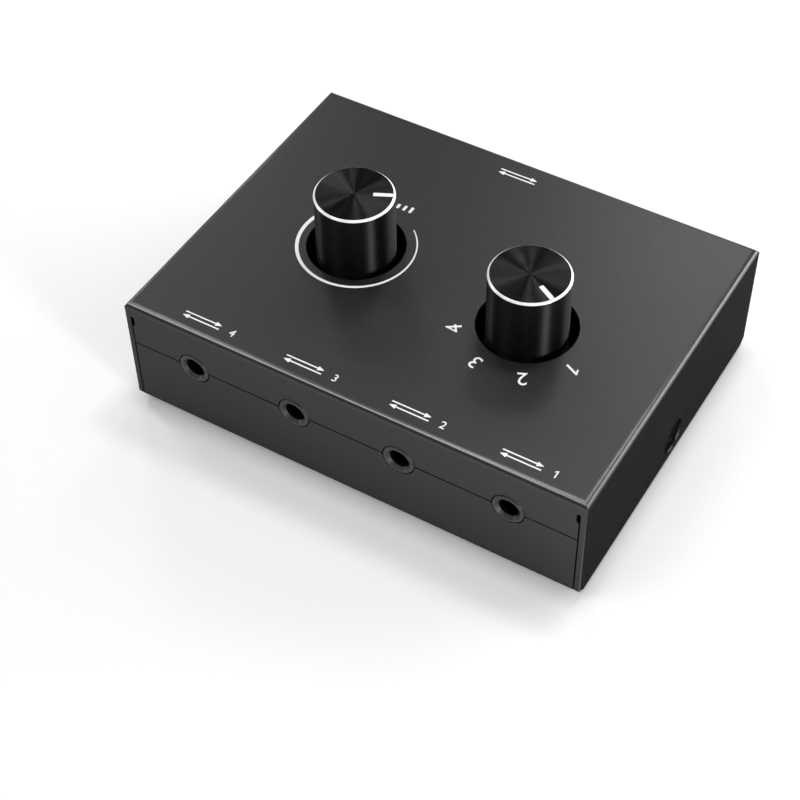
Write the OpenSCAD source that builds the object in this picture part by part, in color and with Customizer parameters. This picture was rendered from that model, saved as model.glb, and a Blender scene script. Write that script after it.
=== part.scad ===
// Passive audio source selector: a folded steel box with four sockets on one long face,
// a common socket on the far face, a volume knob and a four-way selector knob on top.
// Millimetres. Origin on the table under the middle of the case, +X along the row of four
// sockets, -Y towards that row, +Z up.

/* [Case] */
// Width of the case along the row of four sockets
case_w = 100; // [94:1:130]
// Depth of the case from the four-socket face to the far face
case_d = 75; // [70:1:100]
// Height of the case without its feet
case_h = 26; // [24:0.5:32]
// Thickness of the folded steel sheet
sheet_t = 1.2; // [0.8:0.1:1.5]
// Inside radius of every bend in the sheet
bend_inner_r = 0.2; // [0.2:0.1:0.8]
// Open slit between neighbouring sheet edges
slit = 0.3; // [0.2:0.05:0.5]
// Radius on the lower corners of the cover's side walls
wall_corner_r = 1.6; // [0.5:0.1:3]
// Width of the relief slot at the top of each corner slit
relief_w = 0.85; // [0.6:0.05:1.2]
// Height of the relief slot
relief_h = 2.4; // [1.4:0.1:4]
// Distance of the relief slot below the top of the case
relief_drop = 3; // [2.2:0.1:5]

/* [Screws in the sides] */
// Height of the side screws above the underside of the case
screw_z = 5; // [4:0.1:7]
// Offset of the side screws from the middle of the depth
screw_y = 2; // [-10:0.5:10]
// Head diameter of a side screw
screw_head_d = 6.9; // [5.5:0.1:7.4]
// How far the head is sunk below the wall's face
screw_sink = 0.32; // [0.1:0.02:0.5]
// Thread diameter of the side screws and the board screws
screw_d = 3; // [2.5:0.1:3.5]
// Length of a side screw behind its head
screw_length = 5; // [4:0.5:8]
// Width of the tray's side tabs
tab_w = 24; // [12:1:40]
// Height of the tray's side tabs
tab_h = 9; // [8.5:0.5:12]
// Width of the notch beside each tab
tab_notch = 1; // [0.6:0.1:2]

/* [Feet] */
// Diameter of a rubber foot
foot_d = 10; // [6:0.5:14]
// Height of a rubber foot
foot_h = 1.5; // [1:0.1:4]
// Distance of a foot's centre from the case's edges
foot_inset = 10; // [8:0.5:16]
// Rounded edge of a foot
foot_edge = 0.5; // [0.2:0.1:0.8]

/* [Sockets] */
// Distance of the outer sockets from the sides of the case
socket_edge = 15.5; // [10:0.5:24]
// Distance of the socket axis below the top of the case
socket_drop = 10.2; // [10:0.1:12]
// Bore of a socket for a 3.5 mm plug
socket_bore_d = 3.6; // [3.55:0.05:3.8]
// Depth of the bore from the socket's face
socket_depth = 14; // [13:0.5:16]
// Diameter of the nose that shows in the face
nose_d = 6.6; // [6:0.1:7.4]
// Gap round the nose in the sheet
nose_gap = 0.2; // [0.1:0.05:0.4]
// How far the nose stands proud of the sheet
nose_proud = 0.2; // [0.1:0.05:0.8]
// Radius of the rounded lip of the nose
lip_r = 0.35; // [0.15:0.05:0.5]
// Mouth diameter of the funnel in the nose
funnel_d = 5.2; // [4.6:0.1:5.6]
// Depth of the funnel
funnel_depth = 1.1; // [0.6:0.1:2]
// Width of the moulded socket body
socket_w = 8.4; // [7.6:0.1:10]
// Height of the moulded socket body
socket_h = 7; // [6.6:0.1:7.6]
// Wall behind the blind end of the bore
socket_back = 1; // [0.6:0.1:2]
// Chamfer along the top edges of the socket body
socket_chamfer = 0.8; // [0.3:0.1:1.2]
// Thickness of a contact spring
contact_t = 0.3; // [0.2:0.05:0.4]

/* [Circuit board] */
// Thickness of the circuit board
board_t = 1.6; // [1:0.1:2]
// Gap between the board's edge and the sheet
board_gap = 0.8; // [0.4:0.1:2]
// Distance of the board's fixing holes from its side edges
hole_inset = 4; // [3.5:0.1:6]
// Distance of the fixing holes from the middle of the depth
hole_y = 17; // [14:0.5:19]
// Width across flats of a standoff
standoff_af = 5; // [5:0.1:5.5]
// Diameter of the standoff's shank where it is pressed into the floor
standoff_shank_d = 4.2; // [3.8:0.1:4.8]
// Head diameter of a board screw
board_screw_head_d = 5.4; // [5:0.1:6]
// Head height of a board screw
board_screw_head_h = 1.6; // [1.2:0.1:2]
// Length of a lead below the board
lead_tail = 1.4; // [0.8:0.1:2]
// Diameter of a lead
lead_d = 0.7; // [0.5:0.05:0.9]

/* [Knobs] */
// Distance of the volume knob's axis from the left side of the case
volume_edge = 30.4; // [24:0.1:34]
// Offset of the volume knob's axis from the middle of the depth
volume_y = -1.2; // [-4:0.1:4]
// Distance of the selector knob's axis from the right side of the case
selector_edge = 29.9; // [24:0.1:34]
// Offset of the selector knob's axis from the middle of the depth
selector_y = -3.8; // [-4:0.1:4]
// Diameter of a knob
knob_d = 16; // [14:0.5:18]
// Height of a knob
knob_h = 16; // [14:0.5:18]
// How far a knob stands above the case
knob_rise = 13.5; // [11:0.5:14]
// Bright chamfer round a knob's top
knob_chamfer = 0.4; // [0.3:0.05:1.2]
// Round on the lower edge of a knob
knob_foot_r = 0.3; // [0.1:0.05:0.6]
// Wall of the knob's turned shell
knob_wall = 1.4; // [1:0.1:2]
// Thickness of the knob's top
knob_top_t = 2; // [1.2:0.1:3]
// Diameter of the hole round a knob in the cover
knob_hole_d = 20; // [19:0.5:24]
// Width of the white pointer
pointer_w = 1; // [0.6:0.1:1.6]
// Length of the white pointer
pointer_length = 3.9; // [2:0.1:5]
// Depth of the pointer's groove
pointer_depth = 0.3; // [0.2:0.1:0.8]
// Length of the shaft inside the knob
shaft_grip = 9; // [6:0.5:10]
// Recess under the knob's core
core_recess = 2; // [1:0.1:4]

/* [Shafts] */
// Diameter of the control shafts
shaft_d = 6; // [5.6:0.1:6.2]
// Depth of the flat on a shaft
shaft_flat = 1.5; // [1:0.1:2]
// Running clearance all round a shaft
running_gap = 0.05; // [0.03:0.01:0.08]
// Gap between a bushing and the knob over it
bushing_gap = 0.6; // [0.4:0.1:1]

/* [Volume control] */
// Width of the volume control's body
pot_w = 10.4; // [10:0.1:12]
// Depth of the volume control's body
pot_d = 11.6; // [11.4:0.1:14]
// Height of its moulded base
pot_base_h = 2; // [1.5:0.1:3]
// Diameter of its threaded bushing
pot_bushing_d = 8; // [7.6:0.1:9]
// Side wall of its cover
pot_wall = 0.7; // [0.5:0.1:0.9]
// Top wall of its cover
pot_top_t = 1.2; // [0.8:0.1:1.6]
// Thickness of a resistance wafer
wafer_t = 0.4; // [0.3:0.05:0.6]
// Thickness of a wiper
wiper_t = 0.2; // [0.15:0.05:0.3]
// Height of the rotor
pot_rotor_h = 2; // [1.6:0.1:2.6]
// Diameter of the thin spindle that drives a rotor
spindle_d = 3.2; // [2.8:0.1:3.6]
// Angle of the whole volume travel
volume_travel = 280; // [240:5:290]
// Pointer angle of the volume knob at rest
volume_rest = 26; // [-180:1:48]

/* [Selector switch] */
// Diameter of the switch can
can_d = 17; // [16.4:0.1:20]
// Side wall of the can between two detent hollows
can_wall = 1.3; // [1.2:0.05:1.6]
// Top wall of the can
can_top_t = 1; // [0.8:0.1:1.4]
// Height of the switch's moulded base
switch_base_h = 2; // [1.5:0.1:3]
// Height of the switch's rotor
switch_rotor_h = 2.4; // [2.2:0.1:3]
// Diameter of the switch's threaded bushing
switch_bushing_d = 9; // [8:0.1:9.4]
// Width across flats of the nut on the bushing
nut_af = 12; // [11:0.1:13]
// Height of the nut
nut_h = 1.8; // [1.4:0.1:2]
// Thickness of the stop washer
washer_t = 0.6; // [0.4:0.05:0.8]
// Angle between neighbouring switch positions
step_angle = 40; // [30:1:40]
// Pointer angle of the selector knob at rest, in its first position
selector_rest = 330; // [300:1:345]
// Diameter of the detent ball
ball_d = 1.5; // [1.2:0.1:1.6]

/* [Hidden] */
$fn = 64;
// Play between pieces that are fitted into each other and stay there
play = 0.03;
// Clearance round a screw or a lead in the circuit board
hole_gap = 0.12;
// How far a cutting solid reaches past the face that it cuts
cut = 1;
socket_count = 4;
position_count = 4;
bend_r = bend_inner_r + sheet_t;

// Heights of the main levels
case_z = foot_h;
top_z = case_z + case_h;
floor_z = case_z + sheet_t;
socket_z = top_z - socket_drop;
board_top = socket_z - socket_h / 2;
board_under = board_top - board_t;
knob_z = top_z + knob_rise - knob_h;
bushing_top = knob_z - bushing_gap;
core_z = knob_z + core_recess;

// Distance that a pointer's square end keeps from the round chamfer
pointer_margin = 0.05;

// Places across the case
wall_in_x = case_w / 2 - sheet_t;
face_in_y = case_d / 2 - sheet_t;
tray_x = wall_in_x - slit;
tab_in_x = tray_x - sheet_t;
volume_x = volume_edge - case_w / 2;
selector_x = case_w / 2 - selector_edge;
socket_pitch = (case_w - 2 * socket_edge) / (socket_count - 1);
board_x = tab_in_x - board_gap;
board_y = face_in_y - board_gap;
hole_x = board_x - hole_inset;

// Side screws: the cone of the head ends flush with the inside of the wall
screw_cone_h = sheet_t - screw_sink;
countersink_r = screw_head_d / 2 + screw_sink + play;
// Driver recess in any screw, as shares of its head's radius and height
recess_reach = 0.6;
recess_depth = 0.65;
// Share of a standoff's height that the board screw in it reaches down
thread_reach = 0.6;

// Sockets
socket_length = socket_depth + socket_back;
nose_length = nose_proud + sheet_t + play;
// Leaf springs in the sockets: length and height of a leaf, its window into the bore and its bump
contact_length = 5;
contact_h = 2.6;
contact_window_h = 1.2;
contact_window_l = 1.6;
contact_bump_r = 0.45;
bump_margin = 0.1;
// Moulded wall outside the leaf, and the leaf's own place beside the bore
contact_cover = 0.9;
contact_x = socket_w / 2 - contact_t - contact_cover;
contact_lead_x = contact_x + lead_d / 2;
// A bump stops just short of the bore so that a plug passes
bump_x = socket_bore_d / 2 + 2 * play + contact_bump_r;
// Wall between the sleeve spring and the bore
sleeve_cover = 0.4;
sleeve_l = 2;
sleeve_rise = (socket_h - socket_bore_d) / 2 - sleeve_cover;
// Places of the tip and ring springs from the bore's end, and of the sleeve spring from the sheet
tip_back = 2.6;
ring_back = 6.2;
sleeve_front = 2.2;
tip_y = socket_depth - nose_proud - tip_back;
ring_y = socket_depth - nose_proud - ring_back;
sleeve_y = sheet_t + sleeve_front;

// Volume control levels, from the board upwards
wiper_gap = 0.15;
// Air between pieces that turn past each other
turn_gap = 0.3;
wafer_z = board_top + pot_base_h;
pot_rotor_z = wafer_z + wafer_t + wiper_gap + wiper_t;
upper_wafer_z = pot_rotor_z + pot_rotor_h + wiper_t + wiper_gap;
pot_ceiling = upper_wafer_z + wafer_t;
pot_top = pot_ceiling + pot_top_t;
pot_cavity_r = pot_w / 2 - pot_wall;
pot_lug_r = pot_cavity_r - turn_gap;
pot_lug_reach = 0.9;
pot_rotor_r = pot_lug_r - pot_lug_reach;
wafer_hole_gap = 0.5;
wafer_hole_r = spindle_d / 2 + wafer_hole_gap;
spindle_flat = 0.5;
terminal_pitch = 2.5;
terminal_inset = 0.8;
terminal_y = pot_d / 2 - terminal_inset;
lug_w = 2;
lug_half = 14;
stop_clear = 4;
volume_gap_middle = 90;
volume_stop_half = (360 - volume_travel) / 2 - lug_half - stop_clear;

// Selector switch levels, from the board upwards
pad_rise = 0.1;
bridge_t = 0.25;
bridge_dimple = 0.15;
bridge_gap = 0.15;
switch_rotor_z = board_top + switch_base_h + pad_rise + bridge_gap + bridge_dimple + bridge_t;
switch_lug_z = switch_rotor_z + switch_rotor_h;
switch_lug_h = 0.8;
can_ceiling = switch_lug_z + switch_lug_h + turn_gap;
can_top = can_ceiling + can_top_t;
can_cavity_r = can_d / 2 - can_wall;
detent_room = 1.2;
switch_rotor_r = can_cavity_r - detent_room;
detent_r = 0.9;
detent_count = floor(360 / step_angle);
ball_angle = selector_rest + 90;
ball_place_r = can_cavity_r - ball_d / 2 - turn_gap;
pocket_r = ball_d / 2 + 2 * play;
pocket_wall = 0.9;
pocket_floor_r = spindle_d / 2 + pocket_wall;
pad_r = 0.6;
pad_place_r = switch_rotor_r - pad_r;
common_w = 0.8;
common_gap = 0.8;
common_in_r = spindle_d / 2 + common_gap;
common_mid_r = common_in_r + common_w / 2;
common_overlap = 10;
common_span = (position_count - 1) * step_angle + 2 * common_overlap;
last_angle = selector_rest - (position_count - 1) * step_angle;
pad_angles = [for (pole = [0, 180], k = [0 : position_count - 1]) selector_rest - k * step_angle + pole];
common_angles = [for (pole = [0, 180]) (selector_rest + last_angle) / 2 + pole];
stop_reach = 1.4;
stop_out_r = switch_rotor_r - turn_gap;
stop_in_r = stop_out_r - stop_reach;
switch_lug_half = 8;
post_half = 6;
stop_tab_w = 1.6;
stop_tab_mid_r = (stop_in_r + stop_out_r) / 2;
stop_tab_half = asin(stop_tab_w / 2 / stop_in_r);
post_angle = selector_rest + switch_lug_half + stop_clear + post_half;
stop_tab_angle = last_angle - switch_lug_half - stop_clear - stop_tab_half;
stop_tab_z = switch_lug_z + turn_gap;
washer_r = stop_tab_mid_r + washer_t / 2;
nut_z = can_top + washer_t;

// Shared shapes

// Places a child at each control or socket
module at_volume() { translate([volume_x, volume_y, 0]) children(); }
module at_selector() { translate([selector_x, selector_y, 0]) children(); }
module at_input(i) {
    translate([(i - (socket_count + 1) / 2) * socket_pitch, -case_d / 2, socket_z]) children();
}
module at_common() { translate([0, case_d / 2, socket_z]) rotate([0, 0, 180]) children(); }
module at_every_socket() {
    for (i = [1 : socket_count]) at_input(i) children();
    at_common() children();
}
module at_board_holes() {
    for (x = [-hole_x, hole_x], y = [-hole_y, hole_y]) translate([x, y, 0]) children();
}
module both_sides() {
    for (side = [0, 1]) mirror([side, 0, 0]) children();
}

// Flat outline, symmetric about the vertical axis, with round upper corners
module round_topped(w, h, r) {
    translate([-w / 2, 0]) square([w, h - r]);
    translate([-w / 2 + r, 0]) square([w - 2 * r, h]);
    for (side = [-1, 1]) translate([side * (w / 2 - r), h - r]) circle(r);
}

// The same outline with round lower corners too
module round_all(w, h, r, low_r) {
    intersection() {
        round_topped(w, h, r);
        translate([0, h]) mirror([0, 1]) round_topped(w, h, low_r);
    }
}

// Stands an outline in the XZ plane and runs it along Y, centred
module along_y(length) {
    translate([0, length / 2, 0]) rotate([90, 0, 0]) linear_extrude(length) children();
}

// Stands an outline in the YZ plane and runs it along X, centred
module along_x(length) {
    translate([-length / 2, 0, 0]) rotate([90, 0, 90]) linear_extrude(length) children();
}

// Upright cylinder between two levels
module cylinder_between(r, low, high) { translate([0, 0, low]) cylinder(r = r, h = high - low); }

// Ring sector between two radii, centred on an angle
module sector(r_in, r_out, middle, half, h) {
    rotate([0, 0, middle - half])
        rotate_extrude(angle = 2 * half) translate([r_in, 0]) square([r_out - r_in, h]);
}

// Round bar with one flat, the flat facing +X
module flatted_bar(d, flat, h) {
    difference() {
        cylinder(d = d, h = h);
        translate([d / 2 - flat, -d, -cut]) cube([d, 2 * d, h + 2 * cut]);
    }
}

// Cross-shaped driver recess, cut downwards from the level z = 0
module cross_recess(reach, depth) {
    slot_w = reach / 3;
    for (turn = [0, 90]) rotate([0, 0, turn])
        translate([-reach, -slot_w / 2, -depth]) cube([2 * reach, slot_w, depth + cut]);
}

// Six-sided prism by its width across flats
module hexagon(af, h) { cylinder(d = af / cos(30), h = h, $fn = 6); }

// Case

// Box with round upper edges: the cover's outside, or the hollow inside it
module cover_form(w, d, h, r) {
    intersection() {
        along_y(d) round_topped(w, h, r);
        along_x(w) round_topped(d, h, r);
    }
}

// Slit and relief slot beside a side wall, right through the front and rear flanges
module corner_slit() {
    slot_low = case_h - relief_drop - relief_h;
    translate([wall_in_x - slit, 0, 0])
        along_y(case_d + 2 * cut) square([slit, slot_low + relief_w]);
    along_y(case_d + 2 * cut) translate([wall_in_x - relief_w / 2, slot_low]) {
        translate([0, relief_w / 2]) circle(d = relief_w);
        translate([0, relief_h - relief_w / 2]) circle(d = relief_w);
        translate([-relief_w / 2, relief_w / 2]) square([relief_w, relief_h - relief_w]);
    }
}

// Countersunk hole through a side wall
module side_screw_hole() {
    translate([case_w / 2, screw_y, screw_z]) rotate([0, -90, 0]) {
        cylinder(r1 = countersink_r, r2 = countersink_r - sheet_t, h = sheet_t);
        translate([0, 0, sheet_t - play]) cylinder(r = countersink_r - sheet_t, h = cut);
    }
}

module top_cover() {
    seam = socket_z - case_z + slit / 2;
    color("#434446") difference() {
        translate([0, 0, case_z]) difference() {
            intersection() {
                cover_form(case_w, case_d, case_h, bend_r);
                along_x(case_w) round_all(case_d, case_h, bend_r, wall_corner_r);
            }
            translate([0, 0, -cut])
                cover_form(2 * wall_in_x, 2 * face_in_y, case_h - sheet_t + cut, bend_inner_r);
            translate([-wall_in_x, -case_d, -cut]) cube([2 * wall_in_x, 2 * case_d, seam + cut]);
            both_sides() corner_slit();
            both_sides() side_screw_hole();
        }
        at_volume() knob_hole();
        at_selector() knob_hole();
        at_every_socket() nose_hole();
    }
}

// Round opening in the top that a knob sinks into
module knob_hole() { cylinder_between(knob_hole_d / 2, top_z - sheet_t - cut, top_z + cut); }

// Clearance for a socket's nose through the sheet, along +Y from the face
module nose_hole() {
    translate([0, -cut, 0]) rotate([-90, 0, 0]) cylinder(d = nose_d + 2 * nose_gap, h = sheet_t + 2 * cut);
}

module bottom_tray() {
    rim = socket_z - case_z - slit / 2;
    color("#3c3d3f") difference() {
        translate([0, 0, case_z]) {
            difference() {
                along_x(2 * tray_x) difference() {
                    translate([0, rim]) mirror([0, 1]) round_topped(case_d, rim, bend_r);
                    translate([0, rim + sheet_t]) mirror([0, 1])
                        round_topped(2 * face_in_y, rim, bend_inner_r);
                }
                both_sides() tab_gap();
            }
            both_sides() side_tab();
        }
        at_every_socket() nose_hole();
        at_board_holes() translate([0, 0, case_z - cut])
            cylinder(d = standoff_shank_d + 2 * play, h = sheet_t + 2 * cut);
    }
}

// Space that is cut from the floor's edge for a tab's bend and the notches beside it
module tab_gap() {
    w = tab_w + 2 * tab_notch;
    translate([tray_x - bend_r, screw_y - w / 2, -cut]) cube([bend_r + cut, w, sheet_t + 2 * cut]);
}

// Tab bent up from the floor, with its root in the floor and the tapped hole for the side screw
module side_tab() {
    difference() {
        translate([0, screw_y, 0]) along_y(tab_w) difference() {
            union() {
                translate([tray_x - 2 * bend_r, 0]) square([bend_r + play, sheet_t]);
                translate([tray_x - bend_r, bend_r]) intersection() {
                    circle(bend_r);
                    translate([0, -bend_r]) square(bend_r);
                }
                translate([tray_x - sheet_t, bend_r - play]) square([sheet_t, tab_h - bend_r + play]);
            }
            translate([tray_x - bend_r, bend_r]) circle(bend_inner_r);
        }
        translate([tray_x + cut, screw_y, screw_z]) rotate([0, -90, 0])
            cylinder(d = screw_d + 2 * play, h = sheet_t + 2 * cut);
    }
}

module side_screws() {
    head_r = screw_head_d / 2;
    color("#2b2b2d") both_sides()
        translate([case_w / 2 - screw_sink, screw_y, case_z + screw_z]) rotate([0, -90, 0]) difference() {
            union() {
                cylinder(r1 = head_r, r2 = head_r - screw_cone_h, h = screw_cone_h);
                cylinder(d = screw_d, h = screw_cone_h + screw_length);
            }
            mirror([0, 0, 1]) cross_recess(head_r * recess_reach, screw_cone_h * recess_depth);
        }
}

module foot(x_side, y_side) {
    foot_x = x_side * (case_w / 2 - foot_inset);
    foot_y = y_side * (case_d / 2 - foot_inset);
    color("#1c1c1c") translate([foot_x, foot_y, 0]) rotate_extrude() {
        square([foot_d / 2 - foot_edge, foot_h]);
        translate([0, foot_edge]) square([foot_d / 2, foot_h - foot_edge]);
        translate([foot_d / 2 - foot_edge, foot_edge]) intersection() {
            circle(foot_edge);
            translate([0, -foot_edge]) square(foot_edge);
        }
    }
}

// Circuit board and its fixings

module circuit_board() {
    color("#16181a") difference() {
        translate([-board_x, -board_y, board_under]) cube([2 * board_x, 2 * board_y, board_t]);
        at_board_holes() translate([0, 0, board_under - cut])
            cylinder(d = screw_d + 2 * hole_gap, h = board_t + 2 * cut);
        at_every_socket() at_contact_leads() lead_hole();
        at_volume() {
            at_volume_leads() lead_hole();
            both_sides() translate([pot_w / 2 - pot_wall - play, -lug_w / 2 - play, board_under - cut])
                cube([pot_wall + 2 * play, lug_w + 2 * play, board_t + 2 * cut]);
        }
        at_selector() at_switch_leads() lead_hole();
    }
}

// Hole in the board for one lead, whatever height the lead is placed at
module lead_hole() {
    translate([0, 0, -case_h]) cylinder(d = lead_d + 2 * hole_gap, h = 2 * case_h);
}

module board_standoffs() {
    color("#b08d3c") at_board_holes() difference() {
        union() {
            translate([0, 0, floor_z]) hexagon(standoff_af, board_under - floor_z);
            translate([0, 0, case_z]) cylinder(d = standoff_shank_d, h = sheet_t);
        }
        translate([0, 0, floor_z]) cylinder(d = screw_d + 2 * play, h = board_under - floor_z + cut);
    }
}

module board_screws() {
    head_r = board_screw_head_d / 2;
    head_h = board_screw_head_h;
    dome_r = (pow(head_r, 2) + pow(head_h, 2)) / 2 / head_h;
    thread_l = board_t + (board_under - floor_z) * thread_reach;
    color("#9a9a98") at_board_holes() translate([0, 0, board_top]) difference() {
        union() {
            translate([0, 0, -thread_l]) cylinder(d = screw_d, h = thread_l);
            intersection() {
                cylinder(r = head_r, h = head_h);
                translate([0, 0, head_h - dome_r]) sphere(dome_r);
            }
        }
        translate([0, 0, head_h]) cross_recess(head_r * recess_reach, head_h * recess_depth);
    }
}

// Sockets, each drawn with its face at y = 0 and its bore running along +Y

// Turned nose with a rounded lip at z = 0, running into the moulded body
module nose() {
    rotate_extrude() {
        square([nose_d / 2 - lip_r, nose_length + cut]);
        translate([0, lip_r]) square([nose_d / 2, nose_length + cut - lip_r]);
        translate([nose_d / 2 - lip_r, lip_r]) circle(lip_r);
    }
}

// Nose, moulded body behind the sheet, funnel, bore and the slots for the springs
module socket_form() {
    body_y = sheet_t + play;
    body_length = socket_length - nose_proud - body_y;
    difference() {
        union() {
            translate([0, -nose_proud, 0]) rotate([-90, 0, 0]) nose();
            translate([0, body_y + body_length / 2, -socket_h / 2]) along_y(body_length) polygon([
                [-socket_w / 2, 0],
                [socket_w / 2, 0],
                [socket_w / 2, socket_h - socket_chamfer],
                [socket_w / 2 - socket_chamfer, socket_h],
                [-socket_w / 2 + socket_chamfer, socket_h],
                [-socket_w / 2, socket_h - socket_chamfer]
            ]);
        }
        translate([0, -nose_proud, 0]) rotate([-90, 0, 0]) {
            cylinder(d = socket_bore_d, h = socket_depth);
            cylinder(d1 = funnel_d, d2 = socket_bore_d, h = funnel_depth);
        }
        contact_slot(tip_y);
        mirror([1, 0, 0]) contact_slot(ring_y);
        sleeve_slot();
    }
}

// Slot in the +X side of the body for a leaf, open outwards and downwards, with its window
module contact_slot(y) {
    slot_l = contact_length + 2 * play;
    slot_h = (socket_h + contact_h) / 2 + play + cut;
    translate([contact_x - play, y - slot_l / 2, -socket_h / 2 - cut]) cube([socket_w, slot_l, slot_h]);
    translate([0, y - contact_window_l / 2, -contact_window_h / 2])
        cube([contact_x, contact_window_l, contact_window_h]);
}

// Slot under the bore for the sleeve spring
module sleeve_slot() {
    slot_w = contact_h + 2 * play;
    slot_l = sleeve_l + 2 * play;
    translate([-slot_w / 2, sleeve_y - slot_l / 2, -socket_h / 2 - cut])
        cube([slot_w, slot_l, sleeve_rise + cut]);
}

// Places where the three leads of a socket go down into the board
module at_contact_leads() {
    translate([contact_lead_x, tip_y, 0]) children();
    translate([-contact_lead_x, ring_y, 0]) children();
    translate([0, sleeve_y, 0]) children();
}

// Leaf on the +X side with a rounded bump towards the bore
module side_contact(y) {
    bump_h = contact_window_h - 2 * bump_margin;
    stem_w = contact_bump_r;
    translate([contact_x, y - contact_length / 2, -socket_h / 2 + play])
        cube([contact_t, contact_length, (socket_h + contact_h) / 2 - play]);
    translate([bump_x, y, -bump_h / 2]) cylinder(r = contact_bump_r, h = bump_h);
    translate([bump_x, y - stem_w / 2, -bump_h / 2]) cube([contact_x + contact_t - bump_x, stem_w, bump_h]);
}

module contacts_form() {
    lead_low = -socket_h / 2 - board_t - lead_tail;
    side_contact(tip_y);
    mirror([1, 0, 0]) side_contact(ring_y);
    translate([-contact_h / 2, sleeve_y - sleeve_l / 2, -socket_h / 2 + sleeve_rise - contact_t])
        cube([contact_h, sleeve_l, contact_t]);
    at_contact_leads() cylinder_between(lead_d / 2, lead_low, -socket_h / 2 + sleeve_rise - contact_t / 2);
}

module input_socket(i) { color("#202022") at_input(i) socket_form(); }
module common_socket() { color("#202022") at_common() socket_form(); }
module socket_contacts(i) { color("#c9c6bd") at_input(i) contacts_form(); }
module common_contacts() { color("#c9c6bd") at_common() contacts_form(); }

// Volume control

// Places of the six leads: three for each wafer
module at_volume_leads() {
    for (x = [-1 : 1], y = [-terminal_y, terminal_y]) translate([x * terminal_pitch, y, 0]) children();
}

module volume_base() {
    base_w = pot_w - 2 * pot_wall - 2 * play;
    color("#2a2622") at_volume() difference() {
        translate([-base_w / 2, -pot_d / 2, board_top]) cube([base_w, pot_d, pot_base_h]);
        at_volume_leads() translate([0, 0, board_top - cut])
            cylinder(d = lead_d + 2 * play, h = pot_base_h + 2 * cut);
    }
}

module volume_terminals() {
    color("#c9c6bd") at_volume() at_volume_leads()
        cylinder_between(lead_d / 2, board_under - lead_tail, wafer_z);
}

module wafer(z) {
    color("#6b4a2a") at_volume() translate([0, 0, z]) difference() {
        cylinder(r = pot_cavity_r - play, h = wafer_t);
        translate([0, 0, -cut]) cylinder(r = wafer_hole_r, h = wafer_t + 2 * cut);
    }
}

// Metal cover with the threaded bushing, the end stop inside and two lugs through the board
module volume_cover() {
    color("#8f9194") at_volume() {
        difference() {
            union() {
                translate([-pot_w / 2, -pot_d / 2, wafer_z]) cube([pot_w, pot_d, pot_top - wafer_z]);
                cylinder_between(pot_bushing_d / 2, pot_top - play, bushing_top);
            }
            cylinder_between(pot_cavity_r, wafer_z - cut, pot_ceiling);
            cylinder_between(shaft_d / 2 + running_gap, pot_ceiling - cut, bushing_top + cut);
        }
        stop_in = pot_rotor_r + turn_gap;
        stop_out = pot_cavity_r + play;
        translate([0, 0, pot_rotor_z])
            sector(stop_in, stop_out, volume_gap_middle, volume_stop_half, pot_rotor_h);
        both_sides() translate([pot_w / 2 - pot_wall, -lug_w / 2, board_under - lead_tail])
            cube([pot_wall, lug_w, wafer_z - board_under + lead_tail + play]);
    }
}

// Rotor disc with the lug that meets the end stop
module volume_rotor() {
    color("#d8d4c8") at_volume() rotate([0, 0, volume_rest]) translate([0, 0, pot_rotor_z]) difference() {
        union() {
            cylinder(r = pot_rotor_r, h = pot_rotor_h);
            sector(spindle_d / 2 + play, pot_lug_r, 0, lug_half, pot_rotor_h);
        }
        translate([0, 0, -cut]) flatted_bar(spindle_d + 2 * play, spindle_flat, pot_rotor_h + 2 * cut);
    }
}

module volume_wipers() {
    edge = 0.2;
    half_angle = 60;
    color("#d9b45a") at_volume() rotate([0, 0, volume_rest])
        for (z = [pot_rotor_z - wiper_t, pot_rotor_z + pot_rotor_h]) translate([0, 0, z])
            sector(wafer_hole_r + edge, pot_rotor_r - edge, 180, half_angle, wiper_t);
}

// Shaft with a flat for the knob and a thin spindle for the rotor
module control_shaft(spindle_low, shoulder) {
    translate([0, 0, spindle_low]) flatted_bar(spindle_d, spindle_flat, shoulder - spindle_low + play);
    cylinder_between(shaft_d / 2, shoulder, core_z - play);
    translate([0, 0, core_z - 2 * play]) flatted_bar(shaft_d, shaft_flat, shaft_grip - play);
}

module volume_shaft() {
    color("#b9bbbd") at_volume() rotate([0, 0, volume_rest])
        control_shaft(wafer_z + wafer_t + wiper_gap, pot_ceiling + wiper_gap);
}

// Knob parts, drawn on the axis with the pointer towards +X

module knob_shell() {
    difference() {
        rotate_extrude() translate([0, knob_z]) {
            square([knob_d / 2 - knob_foot_r, knob_h - knob_chamfer]);
            translate([0, knob_foot_r]) square([knob_d / 2, knob_h - knob_chamfer - knob_foot_r]);
            translate([knob_d / 2 - knob_foot_r, knob_foot_r]) circle(knob_foot_r);
            translate([0, knob_h - knob_chamfer]) polygon([
                [0, 0],
                [knob_d / 2, 0],
                [knob_d / 2 - knob_chamfer, knob_chamfer],
                [0, knob_chamfer]
            ]);
        }
        cylinder_between(knob_d / 2 - knob_wall, knob_z - cut, knob_z + knob_h - knob_top_t);
        pointer_bar(cut);
    }
}

// Moulded core that grips the shaft
module knob_core() {
    core_r = knob_d / 2 - knob_wall - play;
    color("#262626") difference() {
        cylinder_between(core_r, core_z, knob_z + knob_h - knob_top_t);
        translate([0, 0, core_z - cut]) flatted_bar(shaft_d + 2 * play, shaft_flat, shaft_grip + cut);
    }
}

// White bar in the knob's top, its outer end at the chamfer
module pointer_bar(rise) {
    pointer_end = knob_d / 2 - knob_chamfer - pointer_margin;
    translate([pointer_end - pointer_length, -pointer_w / 2, knob_z + knob_h - pointer_depth])
        cube([pointer_length, pointer_w, pointer_depth + rise]);
}

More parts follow.
